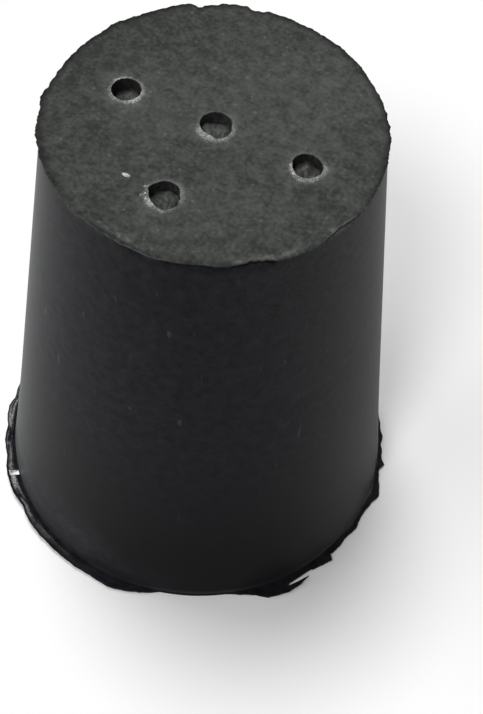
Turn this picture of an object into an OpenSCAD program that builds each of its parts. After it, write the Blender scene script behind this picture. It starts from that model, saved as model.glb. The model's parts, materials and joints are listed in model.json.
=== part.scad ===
// Tapered laboratory stopper, moulded in one piece of black rubber.
// It stands on its wide end. Small holes run through it from end to end, a film of moulding
// flash is left torn round its wide rim, and a thin ragged lip is left round its narrow rim.

/* [Body] */
// Diameter of the narrow end, which faces up
narrow_d = 18; // [15:0.5:22]
// Diameter of the wide end, which it stands on
wide_d = 24; // [20:0.5:30]
// Height from end to end
height = 30; // [15:1:50]

/* [Holes] */
// Diameter of each hole
hole_d = 1.6; // [0.8:0.1:3]
// Distance of the outer holes from the axis
hole_offset = 5.25; // [4:0.25:6]

/* [Flash round the wide rim] */
// Thickness of the film
flash_t = 0.25; // [0.15:0.05:0.5]
// Width of the film at its widest, at the tongue that has peeled off it
flash_w = 1.15; // [0.6:0.05:1.4]
// Depth of the teeth along its torn edge
flash_tooth = 0.02; // [0.01:0.01:0.06]
// Width of the tongue
tongue_w = 0.45; // [0.2:0.05:0.6]
// Width of the tear that parts the tongue from the rest of the film
tear_w = 0.2; // [0.1:0.05:0.4]
// Width of the slit through the film on the left, out from the rim
slit_w = 0.65; // [0.2:0.05:0.7]

/* [Lip round the narrow rim] */
// Thickness of the lip
lip_t = 0.25; // [0.15:0.05:0.5]
// Width of the lip where most of it is left
lip_w = 0.25; // [0.1:0.05:0.4]
// Depth of the teeth along its cut edge
lip_tooth = 0.04; // [0.01:0.01:0.08]
// Least that it stands out from the narrow end
lip_least = 0.04; // [0.03:0.01:0.1]
// Depth of the deepest chips in the rim, in from the narrow end
chip_d = 0.12; // [0.05:0.01:0.3]

/* [Hidden] */

narrow_r = narrow_d / 2;
wide_r = wide_d / 2;

// One hole on the axis and three a quarter turn apart round it. The fourth quarter has none.
hole_places = [[0, 0], [hole_offset, 0], [-hole_offset, 0], [0, -hole_offset]];

// Points round each ragged outline, and the seeds of their teeth
flash_points = 360;
lip_points = 240;
flash_seed = 7;
lip_seed = 11;

// How much of the flash is left round the rim: [angle from +X in degrees, share of flash_w].
// The right side is torn into spikes and tabs, the back is plain, the left side is nearly whole,
// and the front is trimmed flush up to the peeled tongue.
flash_left = [
    [0, 0.35], [3, 0.45], [6, 0.7], [11, 0.4], [15, 0.25], [17, 0.5], [19, 0.3], [22, 0.3], [24, 0.2],
    [27, 0.35], [30, 0.25], [45, 0.35], [60, 0.25], [80, 0.45], [100, 0.3], [120, 0.45], [140, 0.35], [160, 0.5],
    [180, 0.45], [193, 0.4], [198, 0.4], [201, 0.6], [204, 0.6], [208, 0.5], [213, 0.65], [219, 0.6], [222, 0.75],
    [225, 0.8], [231, 0.8], [236, 0.65], [242, 0.8], [250, 0.75], [261, 0.7], [266, 0.65], [272, 0.75], [277, 0.6],
    [282, 0.35], [286, 0.1], [288, -0.1], [304, -0.1], [309, 0.15], [312, 0.3], [315, 0.5], [318, 0.85], [321, 0.95],
    [324, 1.0], [328, 0.9], [331, 0.75], [332, 0.45], [336, 0.55], [340, 0.7], [341, 0.4], [345, 0.4], [348, 0.3],
    [353, 0.45], [357, 0.3], [360, 0.35]
];

// How much of the lip stands out round the rim, in the same form
lip_left = [
    [0, 0.3], [16, 0.4], [30, 0.5], [45, 0.4], [52, 0.1], [58, 0.5], [70, 0.4], [80, 0.2], [96, 0.3], [112, 0.6],
    [130, 0.6], [137, 0.1], [150, 0.2], [156, 0.5], [160, 0.2], [190, 0.3], [196, 1.0], [202, 0.5], [212, 1.0],
    [224, 0.8], [235, 0.6], [243, 0.8], [249, 0.2], [272, 0.1], [277, 0.5], [284, 0.1], [297, 0.1], [300, 0.3],
    [303, 0.1], [315, 0.1], [320, 0.6], [331, 0.4], [336, 0.1], [350, 0.2], [360, 0.3]
];

// Where the rim is chipped, behind and in front: [first angle, last angle, share of chip_d]
chips = [[99.4, 106, 0.6], [115, 125.6, 0.4], [291.4, 296, 0.9], [304, 314.6, 1], [337, 346, 1]];

// Where the film is torn through: a slit on the left, and the tear behind the tongue
slit_angles = [222.8, 225.4];
tear_angles = [324.5, 333];
tear_r = wide_r + flash_w - tongue_w;

// How far the slit reaches in past the rim
root = 1;
// Cuts pass this far beyond the faces that they go through
past = 1;

$fn = 96;

function polar(r, a) = [r * cos(a), r * sin(a)];

// Radius of the tapered side at a height
function side_r(z) = wide_r + (narrow_r - wide_r) * z / height;

// A closed outline about the axis: each point lies out from rim_r by its share of the width and
// by a tooth of its own, and no less than least.
function ragged_outline(rim_r, width, left, tooth, least, count, seed) =
    let (teeth = rands(-tooth, tooth, count, seed))
    [
        for (i = [0 : count - 1])
            let (a = 360 * i / count)
            polar(rim_r + max(least, width * lookup(a, left) + teeth[i]), a)
    ];

// Part of a ring between two angles, as a cut through the film or the lip
module ring_sector(r_in, r_out, angles) {
    steps = 6;
    turn = [for (i = [0 : steps]) angles[0] + (angles[1] - angles[0]) * i / steps];
    polygon([
        for (a = turn) polar(r_out, a),
        for (i = [steps : -1 : 0]) polar(r_in, turn[i])
    ]);
}

// The tapered plug, up to the lip
module plug() {
    cylinder(h = height - lip_t, r1 = wide_r, r2 = side_r(height - lip_t));
}

// The film that the mould's parting line leaves round the wide rim, torn off by hand. Where none
// is left, its outline runs inside the rim.
module torn_flash() {
    linear_extrude(flash_t)
        difference() {
            polygon(ragged_outline(
                wide_r - flash_tooth, flash_w, flash_left, flash_tooth, -root, flash_points, flash_seed
            ));
            ring_sector(wide_r - root, wide_r + slit_w, slit_angles);
            ring_sector(tear_r - tear_w, tear_r, tear_angles);
        }
}

// The last slice of the narrow end, which the trimming cut leaves ragged and a little proud
module ragged_lip() {
    translate([0, 0, height - lip_t])
        linear_extrude(lip_t)
            difference() {
                polygon(ragged_outline(
                    narrow_r, lip_w, lip_left, lip_tooth, lip_least, lip_points, lip_seed
                ));
                for (chip = chips)
                    ring_sector(narrow_r - chip_d * chip[2], narrow_r + past, [chip[0], chip[1]]);
            }
}

// The holes, from end to end
module holes() {
    for (place = hole_places)
        translate([place.x, place.y, -past])
            cylinder(h = height + 2 * past, d = hole_d);
}

module stopper() {
    color("#2c2d2d")
        difference() {
            union() {
                plug();
                torn_flash();
                ragged_lip();
            }
            holes();
        }
}

stopper();
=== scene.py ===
import json
import math

import bpy
from mathutils import Matrix, Quaternion, Vector, noise


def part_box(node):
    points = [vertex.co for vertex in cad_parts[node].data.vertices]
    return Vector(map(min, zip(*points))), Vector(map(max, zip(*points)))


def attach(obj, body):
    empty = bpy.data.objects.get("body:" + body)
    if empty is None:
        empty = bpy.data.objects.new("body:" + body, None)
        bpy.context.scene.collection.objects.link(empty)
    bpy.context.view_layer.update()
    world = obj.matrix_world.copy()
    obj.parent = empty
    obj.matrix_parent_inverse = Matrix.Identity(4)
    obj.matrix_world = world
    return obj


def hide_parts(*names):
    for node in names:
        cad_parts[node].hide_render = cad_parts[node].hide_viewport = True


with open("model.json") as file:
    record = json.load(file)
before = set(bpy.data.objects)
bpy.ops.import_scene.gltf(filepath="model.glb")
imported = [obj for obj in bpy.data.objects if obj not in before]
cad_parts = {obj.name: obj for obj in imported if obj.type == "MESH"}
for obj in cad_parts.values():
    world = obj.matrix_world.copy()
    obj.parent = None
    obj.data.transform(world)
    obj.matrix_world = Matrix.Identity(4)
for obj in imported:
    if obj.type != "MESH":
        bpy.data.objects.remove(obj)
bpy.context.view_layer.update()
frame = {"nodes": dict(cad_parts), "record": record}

# Skin
# The stopper is one moulding of black rubber. Its skin is drawn in millimetres, as rings of edges that run
# from the wide face out over the film of flash, up the straight taper and over the lip to the narrow face.

mm = 0.001
wide_r = 12.0
narrow_r = 9.0
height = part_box("stopper")[1].z / mm
skin_sides = 720
face_margin = 1.0
film_t = 0.2
film_rings = 12
film_shares = [(ring + 1) / film_rings for ring in range(film_rings)]
lip_t = 0.25
# Depths below the narrow face of the rings under the lip's edge, at that edge and on the bevel above it
under_edge = 0.16
at_edge = 0.08
on_bevel = 0.03
# Rings on the narrow face, in from the lip's edge
edge_rings = 6
edge_step = 0.08
foot_flare = 0.1
foot_height = 8
side_heights = [film_t, 0.4, 0.7, 1, 1.5, 2, 3, 4, 5, 6, 8, 10, 12, 15, 18, 21, 24, 27]
side_heights += [height - depth for depth in (1.5, 0.8, 0.5, lip_t)]


def side_r(z):
    """Radius of the side at a height: a straight taper that flares a little at the foot."""
    return wide_r + (narrow_r - wide_r) * z / height + foot_flare * max(0, 1 - z / foot_height) ** 2


def extrude_rings(path, centre=(0.0, 0.0)):
    """Extrudes the selected ring of edges along (radius, height) pairs, about an upright axis at centre."""
    for (old_r, old_z), (new_r, new_z) in zip(path, path[1:]):
        bpy.ops.mesh.extrude_region_move(TRANSFORM_OT_translate={"value": (0, 0, new_z - old_z)})
        grow = new_r / old_r
        bpy.ops.transform.resize(value=(grow, grow, 1), center_override=(*centre, new_z))


skin_path = [(wide_r - face_margin, 0.0), (wide_r, 0.0)]
skin_path += [(wide_r + share, 0.0) for share in film_shares]
skin_path += [(wide_r + share, film_t) for share in reversed(film_shares)]
skin_path += [(side_r(z), z) for z in side_heights]
skin_path += [(narrow_r, height - depth) for depth in (under_edge, at_edge, on_bevel)]
skin_path += [(narrow_r - edge_step * ring, height) for ring in range(edge_rings)]
skin_path += [(narrow_r - face_margin, height)]

bpy.ops.object.select_all(action="DESELECT")
bpy.ops.mesh.primitive_circle_add(vertices=skin_sides, radius=skin_path[0][0])
stopper = bpy.context.object
stopper.name = "moulded_stopper"
bpy.ops.object.mode_set(mode="EDIT")
extrude_rings(skin_path)
bpy.ops.object.mode_set(mode="OBJECT")

# Holes
# Four round holes were punched through the moulding from the narrow face. Each is a ring of edges on that
# face, drawn in to the punched edge and down the wall, and both faces are then filled round the rings. A
# speck of lint lies on the narrow face, as a small closed dome.

hole_sides = 112
mouth_r = 1.6
bores = {mount["name"]: mount for mount in frame["record"]["mounts"] if mount["kind"] == "bore"}
hole_places = {name: Vector(mount["pos_m"]).xy / mm for name, mount in bores.items()}
hole_r = bores["hole_centre"]["dims"]["r_mm"]
mouth_step = 0.05
mouth_rings = round((mouth_r - hole_r) / mouth_step)
mouth_radii = [mouth_r - mouth_step * ring for ring in range(mouth_rings)] + [hole_r]
wall_rows = 30
wall_step = 0.06
hole_path = [(r, height) for r in mouth_radii]
hole_path += [(hole_r, height - wall_step * (row + 1)) for row in range(wall_rows)]
hole_path += [(hole_r, z) for z in (height - 3, height / 2, 0.0)]

lint_place = Vector((-2.38, -5.1))
lint_r = 0.125
lint_t = 0.08
lint_stretch = 2.1
lint_sides = 16
lint_path = [
    (lint_r, height), (0.6 * lint_r, height),
    (0.55 * lint_r, height + 0.75 * lint_t), (0.3 * lint_r, height + lint_t),
]
rings = [(place, mouth_r, hole_sides, hole_path) for place in hole_places.values()]
rings += [(lint_place, lint_r, lint_sides, lint_path)]
for place, radius, sides, path in rings:
    bpy.ops.object.select_all(action="DESELECT")
    bpy.ops.mesh.primitive_circle_add(vertices=sides, radius=radius, location=(*place, height))
    bpy.ops.object.transform_apply(location=True, rotation=False, scale=False)
    bpy.ops.object.mode_set(mode="EDIT")
    extrude_rings(path, place)
    if path is lint_path:
        bpy.ops.mesh.merge(type="CENTER")
        bpy.ops.mesh.select_all(action="SELECT")
        bpy.ops.transform.resize(value=(lint_stretch, 1, 1), center_override=(*place, height))
    bpy.ops.object.mode_set(mode="OBJECT")
    stopper.select_set(True)
    bpy.context.view_layer.objects.active = stopper
    bpy.ops.object.join()
bpy.ops.object.mode_set(mode="EDIT")


def lint_reach(point):
    """How far a point is from the middle of the lint, in its short direction."""
    return math.hypot((point.x - lint_place.x) / lint_stretch, point.y - lint_place.y)


near_enough = 0.001
bpy.ops.mesh.select_mode(type="VERT")
end_faces = [(0.0, wide_r - face_margin, hole_r), (height, narrow_r - face_margin, mouth_r)]
for z, skin_ring, hole_ring in end_faces:
    rings = [(Vector((0, 0)), skin_ring)] + [(place, hole_ring) for place in hole_places.values()]
    bpy.ops.mesh.select_all(action="DESELECT")
    bpy.ops.object.mode_set(mode="OBJECT")
    for vertex in stopper.data.vertices:
        on_ring = abs(lint_reach(vertex.co) - lint_r) < near_enough or any(
            abs((vertex.co.xy - centre).length - radius) < near_enough for centre, radius in rings
        )
        vertex.select = abs(vertex.co.z - z) < near_enough and on_ring
    bpy.ops.object.mode_set(mode="EDIT")
    bpy.ops.mesh.fill(use_beauty=True)
bpy.ops.mesh.select_all(action="SELECT")
bpy.ops.mesh.normals_make_consistent(inside=False)
bpy.ops.object.mode_set(mode="OBJECT")

# Film and lip
# The film of flash was torn off by hand and the narrow end trimmed with a blade, so both edges are ragged.
# Their outlines are those of the solid, with finer teeth, and the film curls up and thins towards its edge.

cad_points = [vertex.co / mm for vertex in frame["nodes"]["stopper"].data.vertices]


def turn_of(point):
    """Angle of a point about the axis of the stopper, from 0 to 360 degrees."""
    return math.degrees(math.atan2(point.y, point.x)) % 360


def rim_radii(z, inner_r, count):
    """The solid's outermost radius at evenly spaced angles round a face, or inner_r where it has none."""
    radii = [inner_r] * count
    for point in cad_points:
        if abs(point.z - z) < near_enough:
            step = round(turn_of(point) / 360 * count) % count
            radii[step] = max(radii[step], point.xy.length)
    return radii


def between(radii, degree):
    """The radius at any angle, between its two neighbours in a list of evenly spaced ones."""
    step = degree / 360 * len(radii)
    start, end = radii[int(step) % len(radii)], radii[(int(step) + 1) % len(radii)]
    return start + (end - start) * (step - int(step))


def look_up(rows, degree):
    """The values between two neighbours of a list of rows that each start with an angle."""
    for low, high in zip(rows, rows[1:]):
        if low[0] <= degree <= high[0]:
            part = (degree - low[0]) / (high[0] - low[0])
            return [start + (end - start) * part for start, end in zip(low[1:], high[1:])]


def ripple(point, size, seed):
    """Smooth noise from about -1 to 1 that changes over size millimetres."""
    return noise.noise(Vector(point) / size + Vector((seed, 0, 0)))


film_radii = rim_radii(0.0, wide_r, 360)
lip_radii = rim_radii(height, narrow_r - 0.3, 240)
# Width of the film where it is trimmed flush, and its thickness at its torn edge
bare_width = 0.03
film_edge_t = 0.1
# (angle, lift of the film's edge, tone of its upper side: pale torn film and painted highlight on the left,
# where the lamps fall on it, and painted shade in front and on the right, where the side shades it)
film_look = [
    (0, 0.05, -0.15), (12, 0.05, -0.15), (60, 0.1, -0.3), (180, 0.2, 0.3), (195, 0.3, 0.35),
    (207, 0.4, 0.45), (220, 0.4, 0.26), (229, 0.4, 0.36), (236, 0.35, 0.18), (243, 0.3, 0.09),
    (250, 0.25, 0.04), (260, 0.18, 0.015), (270, 0.1, -0.25), (277, 0.08, -0.3), (288, 0, -0.4),
    (310, 0, -0.35), (320, 0.1, -0.3), (331, 0.25, -0.2), (333, 0.08, -0.05), (342, 0.06, -0.05),
    (352, 0.05, -0.05), (360, 0.05, -0.15),
]
# (angle, width of the lip's bevel, and tones of the bevel, of its outer edge, of the face beside it and of
# the side under it. Below zero they are painted shade of the rim's rounding and painted shadow under its
# overhang; above zero they make the rim paler in front and on the right, and under the chip on the right
# they are painted light)
lip_look = [
    (0, 0.15, -0.3, -0.4, -0.25, -0.2), (16, 0.1, -0.6, -0.5, -0.6, -0.2),
    (40, 0.06, -0.7, -0.5, -0.72, -0.2), (75, 0.06, -0.8, -0.5, -0.85, -0.2),
    (160, 0.06, -0.85, -0.5, -0.9, -0.2), (190, 0.08, -0.8, -0.4, -0.75, -0.2),
    (212, 0.12, -0.6, -0.35, -0.6, -0.2), (222, 0.2, -0.55, -0.35, -0.45, -0.2),
    (231, 0.3, -0.6, -0.2, -0.5, -0.05), (240, 0.3, -0.5, 0, -0.35, 0),
    (250, 0.28, -0.4, 0, -0.15, 0.03), (260, 0.3, -0.6, -0.1, 0.02, 0.03),
    (270, 0.28, -0.65, 0, 0.02, 0), (280, 0.2, -0.5, 0, -0.3, -0.2),
    (292, 0.15, -0.3, -0.1, -0.25, -0.2), (303, 0.1, -0.1, -0.1, -0.1, -0.25),
    (305, 0.06, 0.02, -0.1, 0.05, -0.25), (314, 0.06, 0.03, 0, 0.06, -0.25),
    (320, 0.15, 0, 0, 0.04, -0.2), (330, 0.2, -0.08, 0.03, 0, 0), (336, 0.22, 0, 0.08, 0, 0.06),
    (348, 0.22, 0.02, 0.1, -0.05, 0.06), (356, 0.2, -0.3, -0.3, -0.1, 0),
    (360, 0.15, -0.3, -0.4, -0.25, -0.2),
]


def rim_point(radius, degree):
    """A point at a radius and an angle about the axis."""
    return Matrix.Rotation(math.radians(degree), 3, "Z") @ Vector((radius, 0, 0))


def film_width(degree):
    """Width of the film that is left at an angle."""
    rim = rim_point(wide_r, degree)
    width = between(film_radii, degree) - wide_r + 0.02 * ripple(rim, 0.4, 3) + 0.015 * ripple(rim, 0.17, 5)
    return max(width, bare_width)


def lip_edge(degree):
    """Radius of the lip's outermost edge at an angle. It is worn smoother in front than behind."""
    rim = rim_point(narrow_r, degree)
    worn_over = 2.5 if 230 < degree < 350 else 0.5
    radius = sum(between(lip_radii, (degree + turn) % 360) for turn in (-worn_over, 0, worn_over)) / 3
    teeth = 0.06 * ripple(rim, 0.4, 12) + 0.045 * ripple(rim, 0.15, 15)
    return radius + teeth * (0.4 if worn_over > 1 else 1)


for vertex in stopper.data.vertices:
    z = vertex.co.z
    r = vertex.co.xy.length
    if r < narrow_r - face_margin + 0.01:
        continue
    degree = turn_of(vertex.co)
    out = vertex.co.xy / r
    if r > wide_r + 0.05 and z < 0.3:
        share = r - wide_r
        width = film_width(degree)
        place = out * (wide_r + width * share)
        lift = look_up(film_look, degree)[0]
        wave = 0.06 * (1 + ripple((*place, 0), 1.4, 8)) * min(1, width / 0.4)
        thick = film_t + (film_edge_t - film_t) * share
        vertex.co = (*place, lift * share**1.5 + wave * share + (thick if z > film_t / 2 else 0))
    elif z > height - lip_t + 0.01:
        outer = lip_edge(degree)
        bevel = look_up(lip_look, degree)[0]
        depth = height - z
        face_edge = outer - bevel - (narrow_r - r)
        lip_rings = {under_edge: outer - 0.06, at_edge: outer, on_bevel: outer - 0.4 * bevel}
        radius = lip_rings.get(round(depth, 2), face_edge)
        vertex.co = (*(out * radius), z + (0.01 * ripple(vertex.co, 0.3, 18) if depth > 0.01 else 0))

# (angle, radius, length along the rim, and widths at its first and last end) of a slit on the left, and of
# the gap behind the peeled tongue, which opens towards the tongue's tip
tears = [(224.1, wide_r + 0.42, 0.45, 0.62, 0.62), (329.2, wide_r + 0.64, 1.9, 0.14, 0.4)]
for degree, radius, length, first_width, last_width in tears:
    place = rim_point(radius, degree)
    bpy.ops.object.select_all(action="DESELECT")
    turn = (0, 0, math.radians(degree))
    bpy.ops.mesh.primitive_cube_add(size=1, location=(*place.xy, 0.3), rotation=turn)
    cutter = bpy.context.object
    for vertex in cutter.data.vertices:
        vertex.co.x *= first_width if vertex.co.y < 0 else last_width
        vertex.co.y *= length
        vertex.co.z *= 2
    bpy.context.view_layer.objects.active = stopper
    tear = stopper.modifiers.new("tear", "BOOLEAN")
    tear.object = cutter
    tear.operation = "DIFFERENCE"
    tear.solver = "EXACT"
    bpy.ops.object.modifier_apply(modifier=tear.name)
    bpy.data.objects.remove(cutter)

# The cuts leave points that join only two edges. They are dissolved, so that no sliver of a face hangs
# on them.
edges_at = [0] * len(stopper.data.vertices)
for edge in stopper.data.edges:
    for index in edge.vertices:
        edges_at[index] += 1
bpy.ops.object.mode_set(mode="EDIT")
bpy.ops.mesh.select_all(action="DESELECT")
bpy.ops.object.mode_set(mode="OBJECT")
for vertex in stopper.data.vertices:
    vertex.select = edges_at[vertex.index] == 2
bpy.ops.object.mode_set(mode="EDIT")
bpy.ops.mesh.dissolve_verts()
bpy.ops.object.mode_set(mode="OBJECT")

# Torn mouths
# The punch pulled the rubber at each mouth, so its edge is uneven and frayed pale. A rag of rubber is left
# across the bore a little way down, open only at a gap by the wall.

# (depth of the rag, rows of (angle, how far the edge is out of round, width of the frayed band, and how
# pale that band is: frayed rubber, paler still as painted highlight on the near side where the edge catches
# the light))
mouths = {
    "hole_left": (0.9, [
        (0, 0, 0.16, 0.5), (15, 0, 0.16, 0.7), (30, 0, 0.2, 0.25), (75, 0, 0.15, 0.25),
        (90, 0, 0.1, 0.12), (105, 0, 0.1, 0.5), (125, 0, 0.1, 0.8), (160, 0, 0.1, 0.8),
        (180, 0, 0.1, 0.3), (200, 0, 0.12, 0.3), (240, 0, 0.2, 0.35), (285, 0, 0.2, 0.3),
        (305, 0, 0.2, 0.6), (320, 0, 0.2, 0.9), (345, 0, 0.16, 0.9), (360, 0, 0.16, 0.5),
    ]),
    "hole_centre": (0.6, [
        (0, 0.1, 0.2, 0.42), (30, 0.08, 0.25, 0.22), (60, 0.23, 0.2, 0.12), (105, 0.27, 0.15, 0.06),
        (150, 0.18, 0.15, 0.05), (195, 0.03, 0.2, 0.1), (208, -0.04, 0.15, 0.35),
        (225, -0.08, 0.35, 0.45), (255, -0.16, 0.45, 0.55), (285, -0.15, 0.42, 0.58),
        (300, 0.02, 0.3, 0.25), (318, 0.05, 0.2, 0.45), (332, 0.07, 0.25, 0.45), (345, 0.08, 0.25, 0.2),
        (360, 0.1, 0.2, 0.42),
    ]),
    "hole_right": (0.7, [
        (0, 0.12, 0.24, 0.44), (15, 0.1, 0.28, 0.46), (30, 0.07, 0.2, 0.28), (50, 0, 0.15, 0.08),
        (150, -0.03, 0.15, 0.08), (190, -0.07, 0.2, 0.14), (207, -0.09, 0.12, 0.6),
        (240, -0.07, 0.2, 0.45), (257, 0.01, 0.22, 0.52), (270, 0.05, 0.3, 0.36),
        (285, 0.07, 0.32, 0.46), (300, 0.06, 0.3, 0.34), (315, 0.09, 0.34, 0.42), (330, 0.1, 0.22, 0.4),
        (360, 0.12, 0.24, 0.44),
    ]),
    "hole_front": (0.65, [
        (0, -0.06, 0.35, 0.22), (30, -0.1, 0.3, 0.3), (45, -0.06, 0.2, 0.4), (60, 0, 0.25, 0.16),
        (75, 0.03, 0.3, 0.2), (105, 0.1, 0.2, 0.1), (150, 0.12, 0.2, 0.1), (165, 0.17, 0.2, 0.15),
        (180, 0.22, 0.15, 0.4), (195, 0.1, 0.3, 0.2), (215, 0.07, 0.4, 0.3), (230, 0.07, 0.3, 0.7),
        (245, 0.06, 0.3, 0.8), (258, 0.08, 0.25, 0.45), (270, 0.12, 0.25, 0.2), (285, 0.2, 0.25, 0.35),
        (300, 0.18, 0.2, 0.15), (315, 0.12, 0.2, 0.22), (340, 0.06, 0.2, 0.08), (360, -0.06, 0.35, 0.22),
    ]),
}
# (x, y, radius, height, paleness) of the crumbs beside the mouths
crumbs = [
    (-1.16, -5.28, 0.09, 0.12, 0.5), (-0.94, -5.67, 0.08, 0.1, 0.45), (-1.07, -5.89, 0.08, 0.1, 0.3),
    (-0.74, -5.93, 0.1, 0.12, 0.55), (-0.48, -6.08, 0.1, 0.1, 0.55),
    (4.54, -0.38, 0.07, 0.08, 0.5), (4.78, -0.64, 0.07, 0.1, 0.75), (4.92, -0.78, 0.08, 0.1, 0.65),
]
# Points above the first height are on the narrow face, and those below the second are past the rags
on_face = height - 0.05
past_rags = height - 2
# Radius of the gap in a rag, the side of the bore that it lies on, and how far it sags below the rag
gap_r = 0.1
gap_turn = math.radians(295)
gap_sag = 0.1
# Rows of the wall from the mouth down to the rag, in across it, down through its gap, and out under it
rows_to_rag = 12
rows_across = 10
rows_through = 3
rows_under = wall_rows - rows_to_rag - rows_across - rows_through


def down_hole(centre, out, shift, depth, rag_depth):
    """Where a point of a hole's wall goes, and how deep: by its row, to the rag, across it or past it."""
    row = round(depth / wall_step)
    across = row - rows_to_rag
    through = across - rows_across
    under = through - rows_through
    wall = out * (hole_r + shift * max(0, 1 - depth / 1.2))
    gap = Vector((math.cos(gap_turn), math.sin(gap_turn))) * (hole_r - gap_r) + out * gap_r
    rag = rag_depth + 0.22 * ripple((*(centre + wall), 0), 0.5, 24)
    if across <= 0:
        return wall, rag * row / rows_to_rag
    if through <= 0:
        part = across / rows_across
        place = wall.lerp(gap, part)
        spot = (*(centre + place), 0)
        rough = ripple(spot, 0.35, 25) + 0.5 * ripple(spot, 0.14, 26)
        hump = 0.18 * (0.5 + rough) * math.sin(math.pi * part)
        return place, rag + (rag_depth + gap_sag - rag) * part - hump
    if under <= 0:
        return gap, rag_depth + gap_sag + 0.08 * through
    part = under / rows_under
    return gap.lerp(out * hole_r, part), rag_depth + 0.4 + 0.15 * part


for vertex in stopper.data.vertices:
    if vertex.co.z < past_rags:
        continue
    for name, (rag_depth, rim) in mouths.items():
        centre = hole_places[name]
        arm = vertex.co.xy - centre
        if arm.length > mouth_r - 0.01:
            continue
        out = arm.normalized()
        spot = (*vertex.co.xy, 0)
        shift, _, pale = look_up(rim, turn_of(arm))
        shift += 0.03 * ripple(spot, 0.2, 21) + 0.015 * ripple(spot, 0.08, 22)
        depth = height - vertex.co.z
        if depth < wall_step / 2:
            near = (mouth_r - arm.length) / (mouth_r - hole_r)
            burr = 0.04 * pale * max(0, 1 - (arm.length - hole_r) / 0.15)
            place = arm + out * shift * near
            drop = -burr
        else:
            place, drop = down_hole(centre, out, shift, depth, rag_depth)
        vertex.co = (*(centre + place), height - drop)
    if vertex.co.z > on_face:
        for x, y, radius, rise, _ in crumbs:
            near = (vertex.co.xy - Vector((x, y))).length / radius
            vertex.co.z += rise * max(0, 1 - near**2)

# Fraying, painted highlight and painted shade
# Where the rubber is torn or frayed it is pale, and so are the dust and the painted highlights; painted
# shade and painted shadow make it dark in the bores, round the lip, in the groove by the film and towards
# the foot of the side. How much of either is kept on each point of the mesh for the materials, above zero
# for pale and below zero for dark.

# (angle, how far up the side the tone of its foot reaches, that tone, and the tone of the film beside it.
# Above zero these are painted highlight, where the flared foot catches the light on the left and on the
# right, and below zero painted shade, in front and behind)
foot_look = [
    (0, 1.5, 0.025, 0.16), (12, 1.5, 0.035, 0.18), (60, 1, -0.6, -0.3), (180, 2, -0.1, 0.1),
    (205, 3, 0.02, 0.1), (214, 3, 0.03, 0.1), (222, 3, 0.034, 0.1), (231, 3, 0.028, 0.1),
    (240, 2.5, 0.021, 0.1), (250, 3, 0.015, 0.1), (262, 3, 0.012, 0.1), (270, 2, -0.02, 0.1),
    (280, 1.2, -0.4, 0.04), (295, 1.5, -0.9, -0.3), (318, 1.5, -1, -0.35), (330, 1, -1, -0.3),
    (340, 1, -1, -0.15), (352, 1.2, -0.3, 0.1), (360, 1.5, 0.025, 0.16),
]

# Painted shade covers the side up to the first height and thins out to the second, so the side is darker
# towards the bottom. Dust and painted light start there, and are at their level after the rise.
shade_full = 5
shade_end = 16
dust_and_light_rise = 12
# Depths half way between the rings of the lip, which part its under side, its edge and its bevel
edge_below = (under_edge + at_edge) / 2
bevel_below = (at_edge + on_bevel) / 2
# How far down the side the tones of the lip hold
lip_zone = 1.5


def clamp(value):
    """A value held between zero and one."""
    return min(1, max(0, value))


def peak(value, centre, reach):
    """One at the centre, falling to zero at reach from it."""
    return max(0, 1 - abs(value - centre) / reach)


def dust_and_painted_light(z, degree):
    """Paleness of dust and of painted light on the upper side, strongest towards its right edge and less
    towards its left. Most of it is on the right, and some on the left.
    """
    turned = math.cos(math.radians(degree - 15))
    level = 0.003 + 0.032 * max(0, turned) ** 1.5 + 0.017 * max(0, -turned) ** 1.5
    return level * max(0, (z - shade_end) / dust_and_light_rise)


def film_tone(point, degree):
    """Tone of the film. On the left, pale streaks of torn film and painted highlight run along it, with
    painted shadow in the groove on their inner side and painted shade at its outer edge. Elsewhere it
    blends near the side into the painted tone of the foot.
    """
    share = (point.xy.length - wide_r) / film_width(degree)
    torn = look_up(film_look, degree)[1]
    if not 190 < degree < 285:
        return torn + (look_up(foot_look, degree)[2] - torn) * max(0, 1 - share / 0.7)
    along = math.radians(degree) * wide_r
    streak = 0.7 + 2.2 * ripple((along / 1.5, share / 0.2, 0), 1, 31)
    streak += 0.9 * ripple((along, share, 0), 0.3, 32)
    torn *= max(0, streak) * clamp(1.4 - abs(share - 0.64) / 0.22)
    # Painted shadow in the groove by the side, and painted shade along the film's outer edge
    groove_shadow = min(0.5, max(0, 0.02 * (degree - 207))) * peak(share, 0.27, 0.15)
    return torn - (groove_shadow + 0.1 * max(0, (share - 0.85) / 0.15))


def side_tone(point, degree):
    """Tone of the side: painted shade towards the foot, dust and painted light above it, a tone of its own
    just over the film, painted highlight on the left and right and painted shade in front, and painted
    shade in the crease at the foot on the front left.
    """
    reach, tone, _ = look_up(foot_look, degree)
    foot = clamp(2 - point.z / reach)
    # Painted shade in the crease where the side meets the film on the front left
    crease_shade = 0.5 * peak(degree, 250, 40) * peak(point.z, 0, 0.35)
    shaded = clamp((shade_end - point.z) / (shade_end - shade_full))
    return tone * foot - shaded * (1 - foot) - crease_shade + dust_and_painted_light(point.z, degree)


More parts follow.
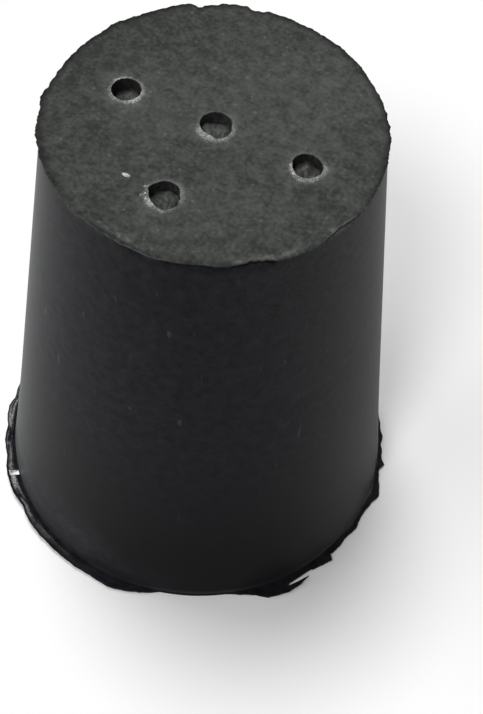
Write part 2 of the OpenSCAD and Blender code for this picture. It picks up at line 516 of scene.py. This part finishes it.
def lip_tone(point, degree):
    """Tone of the lip: under its edge, along it, on its bevel and on the face beside it. Most of it is
    painted shade and painted shadow of the rounded, overhanging rim, with pale frayed patches along its
    front.
    """
    bevel, bevel_tone, edge_tone, face_tone, under_tone = look_up(lip_look, degree)
    depth = height - point.z
    if depth > edge_below:
        return under_tone * max(0, 1 - (depth - edge_below) / 0.4) + dust_and_painted_light(point.z, degree)
    if depth > bevel_below:
        return edge_tone * (1 + 0.6 * ripple(point, 0.3, 33))
    inward = lip_edge(degree) - bevel - point.xy.length
    if depth > on_bevel / 2:
        torn = bevel_tone * (1 + 0.6 * ripple(point, 0.3, 34))
    else:
        torn = face_tone * max(0, 1 - inward / 0.4) ** 1.3
    if 225 < degree < 355 and inward < 0.2:
        torn += (0.3 if degree < 300 else 0.12) * max(0, ripple(point, 0.35, 35) - 0.1)
    return torn


def mouth_tone(point):
    """Tone of the narrow face round the holes, of their walls and rags, and of the crumbs and the lint. The
    walls of the bores carry painted shade, and the rags painted shade towards the wall.
    """
    torn = 0.0
    for name, (rag_depth, rim) in mouths.items():
        arm = point.xy - hole_places[name]
        if arm.length > mouth_r:
            continue
        shift, band, pale = look_up(rim, turn_of(arm))
        beyond = arm.length - hole_r - shift
        if point.z > on_face:
            fade = clamp((0.7 * band + 0.13 - beyond) / 0.2)
            torn = pale * (0.5 * fade + 0.11 * max(0, 1 - beyond / 0.8))
        elif height - point.z < rag_depth + 0.25 and arm.length < hole_r - 0.04:
            torn = 0.03 + min(0.01, 0.5 * ripple(point, 0.2, 37))
            # Painted shade on the rag towards the wall of the bore
            torn -= 0.4 * max(0, arm.length / hole_r - 0.6)
        else:
            # Painted shade on the wall of the bore, with random unevenness
            torn = -0.6 + 0.3 * ripple(point, 0.25, 36)
    if point.z > on_face:
        for x, y, radius, _, pale in crumbs:
            if math.hypot(point.x - x, point.y - y) < radius:
                torn = pale
        if lint_reach(point) < 0.8 * lint_r:
            torn = 1.0
    return torn


# The mark holds fraying and dust together with painted highlight and painted shade.
torn_layer = stopper.data.attributes.new("torn", "FLOAT", "POINT")
for vertex in stopper.data.vertices:
    z = vertex.co.z
    r = vertex.co.xy.length
    degree = turn_of(vertex.co)
    torn = 0.0
    if r > wide_r + 0.02 and z < 1:
        torn = film_tone(vertex.co, degree)
    elif r > narrow_r - face_margin and z < height - lip_zone:
        torn = side_tone(vertex.co, degree)
    elif r > narrow_r - 0.7:
        torn = lip_tone(vertex.co, degree)
    elif z > past_rags:
        torn = mouth_tone(vertex.co)
    torn_layer.data[vertex.index].value = torn

stopper.data.transform(Matrix.Scale(mm, 4))
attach(stopper, "root")
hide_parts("stopper")
bpy.ops.object.select_all(action="DESELECT")
stopper.select_set(True)
bpy.context.view_layer.objects.active = stopper
bpy.ops.object.shade_smooth_by_angle(angle=math.radians(35))

# Rubber
# Natural rubber filled with carbon black. The moulded side is smooth and dark, and the narrow face is a
# rough cut, so it scatters more light and looks greyer and mottled.


def linear(code):
    """A linear RGBA colour from an sRGB hex code."""
    parts = [int(code[i:i + 2], 16) / 255 for i in (1, 3, 5)]
    return [c / 12.92 if c <= 0.04045 else ((c + 0.055) / 1.055) ** 2.4 for c in parts] + [1.0]


def add(tree, kind, inputs=None, **settings):
    """Adds a node with its settings, and sets or links its inputs."""
    node = tree.nodes.new(kind)
    for name, value in settings.items():
        setattr(node, name, value)
    for socket, value in (inputs or {}).items():
        if isinstance(value, bpy.types.NodeSocket):
            tree.links.new(value, node.inputs[socket])
        else:
            node.inputs[socket].default_value = value
    return node


# The dark that painted shade and painted shadow take, and the pale of fraying, dust, scratches, grit and
# painted highlight
painted_shade = linear("#040408")
pale_fray_and_highlight = linear("#d8dad6")
speck_size = 0.09 * mm


def worn_and_shaded(tree, coords, tone):
    """Darkens a tone with painted shade where the mark is below zero, and pales it in specks where above,
    for fraying, dust and painted highlight.
    """
    torn = add(tree, "ShaderNodeAttribute", attribute_name="torn")
    unshaded = add(tree, "ShaderNodeMath", {0: torn.outputs["Fac"], 1: 1.0}, operation="ADD", use_clamp=True)
    shaded = add(tree, "ShaderNodeMix", {"Factor": unshaded.outputs[0], "A": painted_shade, "B": tone}, data_type="RGBA")
    speck = add(tree, "ShaderNodeTexNoise", {
        "Vector": coords.outputs["Object"], "Scale": 1 / speck_size, "Detail": 1,
    })
    spread = add(tree, "ShaderNodeMapRange", {
        "Value": speck.outputs["Fac"], "From Min": 0.35, "From Max": 0.65, "To Min": 0.4, "To Max": 1.6,
    })
    pale = add(tree, "ShaderNodeMath", {
        0: torn.outputs["Fac"], 1: spread.outputs["Result"],
    }, operation="MULTIPLY", use_clamp=True)
    paled = add(tree, "ShaderNodeMix", {
        "Factor": pale.outputs[0], "A": shaded.outputs["Result"], "B": pale_fray_and_highlight,
    }, data_type="RGBA")
    return paled.outputs["Result"]


# The mould gave the side a smooth skin, dull black with a faint mottle and short upright scratches, which
# shines only at a glancing angle.
mottle_size = 0.6 * mm
scratch_width = 0.35 * mm
scratch_stretch = 4
moulded = bpy.data.materials.new("moulded_black_rubber")
moulded.use_nodes = True
tree = moulded.node_tree
shader = tree.nodes["Principled BSDF"]
coords = add(tree, "ShaderNodeTexCoord")
mottle = add(tree, "ShaderNodeTexNoise", {
    "Vector": coords.outputs["Object"], "Scale": 1 / mottle_size, "Detail": 3, "Roughness": 0.7,
})
level = add(tree, "ShaderNodeMapRange", {"Value": mottle.outputs["Fac"], "From Min": 0.3, "From Max": 0.7})
tone = add(tree, "ShaderNodeMix", {
    "Factor": level.outputs["Result"], "A": linear("#101012"), "B": linear("#26262c"),
}, data_type="RGBA")
drawn = add(tree, "ShaderNodeVectorMath", {
    0: coords.outputs["Object"], 1: (1, 1, 1 / scratch_stretch),
}, operation="MULTIPLY")
scratch = add(tree, "ShaderNodeTexNoise", {
    "Vector": drawn.outputs[0], "Scale": 1 / scratch_width, "Detail": 0,
})
scratch = add(tree, "ShaderNodeMapRange", {
    "Value": scratch.outputs["Fac"], "From Min": 0.8, "From Max": 0.86, "To Max": 0.05,
})
tone = add(tree, "ShaderNodeMix", {
    "Factor": scratch.outputs["Result"], "A": tone.outputs["Result"], "B": pale_fray_and_highlight,
}, data_type="RGBA")
tree.links.new(worn_and_shaded(tree, coords, tone.outputs["Result"]), shader.inputs["Base Color"])
shader.inputs["Roughness"].default_value = 0.45
shader.inputs["Specular IOR Level"].default_value = 0.028
shader.inputs["Sheen Weight"].default_value = 0.115
shader.inputs["Sheen Roughness"].default_value = 0.45
shader.inputs["Sheen Tint"].default_value = linear("#f9fbfa")

# The blade left the narrow face and the punch left the holes rough, so they scatter more light and look
# greyer. The face is paler round a place a little behind and to the right of its middle, and darker towards
# its rim.
grain_size = 0.24 * mm
blotch_size = 0.7 * mm
cloud_size = 4 * mm
grit_size = 0.3 * mm
paling_centre = (1.7 * mm, 2.2 * mm, 0)
cut_face = bpy.data.materials.new("cut_black_rubber")
cut_face.use_nodes = True
tree = cut_face.node_tree
shader = tree.nodes["Principled BSDF"]
coords = add(tree, "ShaderNodeTexCoord")
grain = add(tree, "ShaderNodeTexNoise", {
    "Vector": coords.outputs["Object"], "Scale": 1 / grain_size, "Detail": 2, "Roughness": 0.5,
})
blotch = add(tree, "ShaderNodeTexNoise", {
    "Vector": coords.outputs["Object"], "Scale": 1 / blotch_size, "Detail": 2,
})
cloud = add(tree, "ShaderNodeTexNoise", {
    "Vector": coords.outputs["Object"], "Scale": 1 / cloud_size, "Detail": 1,
})
mottle = add(tree, "ShaderNodeMix", {"Factor": 0.5, "A": grain.outputs["Fac"], "B": blotch.outputs["Fac"]})
mottle = add(tree, "ShaderNodeMix", {
    "Factor": 0.2, "A": mottle.outputs["Result"], "B": cloud.outputs["Fac"],
})
level = add(tree, "ShaderNodeMapRange", {
    "Value": mottle.outputs["Result"], "From Min": 0.37, "From Max": 0.63,
})
flat = add(tree, "ShaderNodeVectorMath", {
    0: coords.outputs["Object"], 1: (1, 1, 0),
}, operation="MULTIPLY")
reach = add(tree, "ShaderNodeVectorMath", {0: flat.outputs[0], 1: paling_centre}, operation="DISTANCE")
paling = add(tree, "ShaderNodeMapRange", {
    "Value": reach.outputs["Value"],
    "From Min": 2 * mm, "From Max": 11 * mm, "To Min": 0.12, "To Max": -0.18,
})
level = add(tree, "ShaderNodeMath", {
    0: level.outputs["Result"], 1: paling.outputs["Result"],
}, operation="ADD", use_clamp=True)
tone = add(tree, "ShaderNodeMix", {
    "Factor": level.outputs[0], "A": linear("#313330"), "B": linear("#515350"),
}, data_type="RGBA")
grit = add(tree, "ShaderNodeTexNoise", {
    "Vector": coords.outputs["Object"], "Scale": 1 / grit_size, "Detail": 0,
})
speck = add(tree, "ShaderNodeMapRange", {
    "Value": grit.outputs["Fac"], "From Min": 0.72, "From Max": 0.84, "To Max": 0.06,
})
tone = add(tree, "ShaderNodeMix", {
    "Factor": speck.outputs["Result"], "A": tone.outputs["Result"], "B": pale_fray_and_highlight,
}, data_type="RGBA")
tree.links.new(worn_and_shaded(tree, coords, tone.outputs["Result"]), shader.inputs["Base Color"])
shader.inputs["Roughness"].default_value = 0.85
shader.inputs["Specular IOR Level"].default_value = 0.1

stopper.data.materials.clear()
stopper.data.materials.append(moulded)
stopper.data.materials.append(cut_face)
for face in stopper.data.polygons:
    corners = [stopper.data.vertices[i].co / mm for i in face.vertices]
    lowest = min(crease_shade.z for crease_shade in corners)
    in_hole = any((corners[0].xy - place).length < mouth_r for place in hole_places.values())
    face.material_index = int(lowest > height - edge_below or in_hole and lowest > past_rags)

# Floor
# A plain sheet of white card under the stopper, which takes its shadow. It is white where it is seen, and
# sends less light up to the stopper than it shows.


def seen(tree):
    """One for the rays that show the background, and zero for those that only carry its light."""
    path = add(tree, "ShaderNodeLightPath")
    rays = add(tree, "ShaderNodeMath", {
        0: path.outputs["Is Camera Ray"], 1: path.outputs["Is Glossy Ray"],
    }, operation="ADD")
    rays = add(tree, "ShaderNodeMath", {
        0: rays.outputs[0], 1: path.outputs["Is Transmission Ray"],
    }, operation="ADD")
    return rays.outputs[0]


bpy.ops.object.select_all(action="DESELECT")
bpy.ops.mesh.primitive_plane_add(size=4)
floor = bpy.context.object
floor.name = "floor"
card = bpy.data.materials.new("white_card")
card.use_nodes = True
tree = card.node_tree
shader = tree.nodes["Principled BSDF"]
tone = add(tree, "ShaderNodeMix", {
    "Factor": seen(tree), "A": linear("#b0b0b0"), "B": linear("#fcfcfc"),
}, data_type="RGBA")
tree.links.new(tone.outputs["Result"], shader.inputs["Base Color"])
shader.inputs["Roughness"].default_value = 0.9
shader.inputs["Specular IOR Level"].default_value = 0.0
floor.data.materials.append(card)

# Light
# Three soft lamps: the main one high behind on the left, one in front and a broad one on the left. The room
# is white where it is seen, and adds only a little light.


def add_lamp(name, azimuth, elevation, level, spread):
    """A soft distant lamp. Its level is the share of white that it gives to a flat white floor."""
    turn, rise = math.radians(azimuth), math.radians(elevation)
    towards = Vector((math.cos(turn) * math.cos(rise), math.sin(turn) * math.cos(rise), math.sin(rise)))
    bpy.ops.object.light_add(type="SUN", location=towards * 0.3)
    lamp = bpy.context.object
    lamp.name = name
    lamp.rotation_euler = towards.to_track_quat("Z", "Y").to_euler()
    lamp.data.energy = level * math.pi / math.sin(rise)
    lamp.data.angle = math.radians(spread)


add_lamp("back_left_lamp", 138, 72, 0.50, 18)
add_lamp("front_lamp", 268, 54, 0.30, 15)
add_lamp("left_lamp", 208, 41, 0.20, 52)

world = bpy.data.worlds.new("white_room")
bpy.context.scene.world = world
world.use_nodes = True
tree = world.node_tree
room = tree.nodes["Background"]
room.inputs["Color"].default_value = (1, 1, 1, 1)
level = add(tree, "ShaderNodeMapRange", {"Value": seen(tree), "To Min": 0.03, "To Max": 1.0})
tree.links.new(level.outputs["Result"], room.inputs["Strength"])

# Camera
# It stands close in front of the stopper and looks well down on its narrow face, tilted a little, as the
# photograph was taken.

image_height = 714
focal_px = 1640
eye = Vector((24.71, -52.04, 93.23)) * mm
aim = Vector((3.78, -2.64, 15.0)) * mm
tilt = math.radians(5.25)
bpy.ops.object.camera_add(location=eye)
camera = bpy.context.object
camera.rotation_euler = ((aim - eye).to_track_quat("-Z", "Y") @ Quaternion((0, 0, 1), tilt)).to_euler()
camera.data.sensor_width = 36
camera.data.lens = focal_px / image_height * camera.data.sensor_width
camera.data.clip_start = 0.01
bpy.context.scene.camera = camera
bpy.context.scene.view_settings.view_transform = "Standard"
